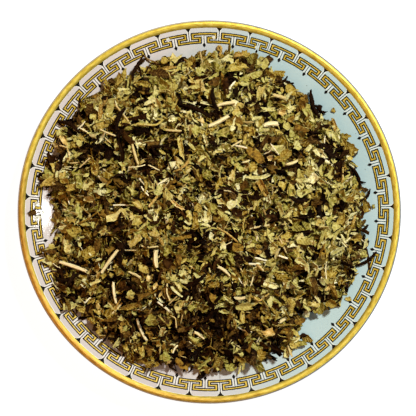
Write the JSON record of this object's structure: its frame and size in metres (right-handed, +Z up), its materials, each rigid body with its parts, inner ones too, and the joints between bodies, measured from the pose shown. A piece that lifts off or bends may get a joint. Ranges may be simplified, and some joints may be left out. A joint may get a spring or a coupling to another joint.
{
  "type": "plate of dried spearmint leaves",
  "caption": "Round glazed side plate on a foot ring, heaped with loose dried, cut spearmint leaf, with straw-coloured stalk pieces, rolled dark leaves and flakes fallen on the rim.",
  "frame": {"origin": "on the surface it stands on, on the plate's axis", "axes": "+Z up, out of the plate; +Y is towards the top of the picture's view, +X to its right"},
  "size_m": [0.192, 0.192, 0.0361],
  "materials": {
    "glaze": "gloss",
    "leaf": "matte",
    "stalk": "matte",
    "dark_leaf": "matte"
  },
  "bodies": {
    "root": {"plate": "glaze", "leaf_heap": "leaf", "stalk_01": "stalk", "stalk_02": "stalk", "stalk_03": "stalk", "stalk_04": "stalk", "stalk_05": "stalk", "stalk_06": "stalk", "stalk_07": "stalk", "stalk_08": "stalk", "stalk_09": "stalk", "stalk_10": "stalk", "stalk_11": "stalk", "stalk_12": "stalk", "stalk_13": "stalk", "stalk_14": "stalk", "stalk_15": "stalk", "stalk_16": "stalk", "rolled_leaf_01": "dark_leaf", "rolled_leaf_02": "dark_leaf", "rolled_leaf_03": "dark_leaf", "rolled_leaf_04": "dark_leaf", "rolled_leaf_05": "dark_leaf", "rolled_leaf_06": "dark_leaf", "rolled_leaf_07": "dark_leaf", "rolled_leaf_08": "dark_leaf", "loose_flake_01": "leaf", "loose_flake_02": "leaf", "loose_flake_03": "leaf", "loose_flake_04": "leaf", "loose_flake_05": "leaf", "loose_flake_06": "leaf", "loose_flake_07": "leaf", "loose_flake_08": "leaf"}
  },
  "joints": []
}
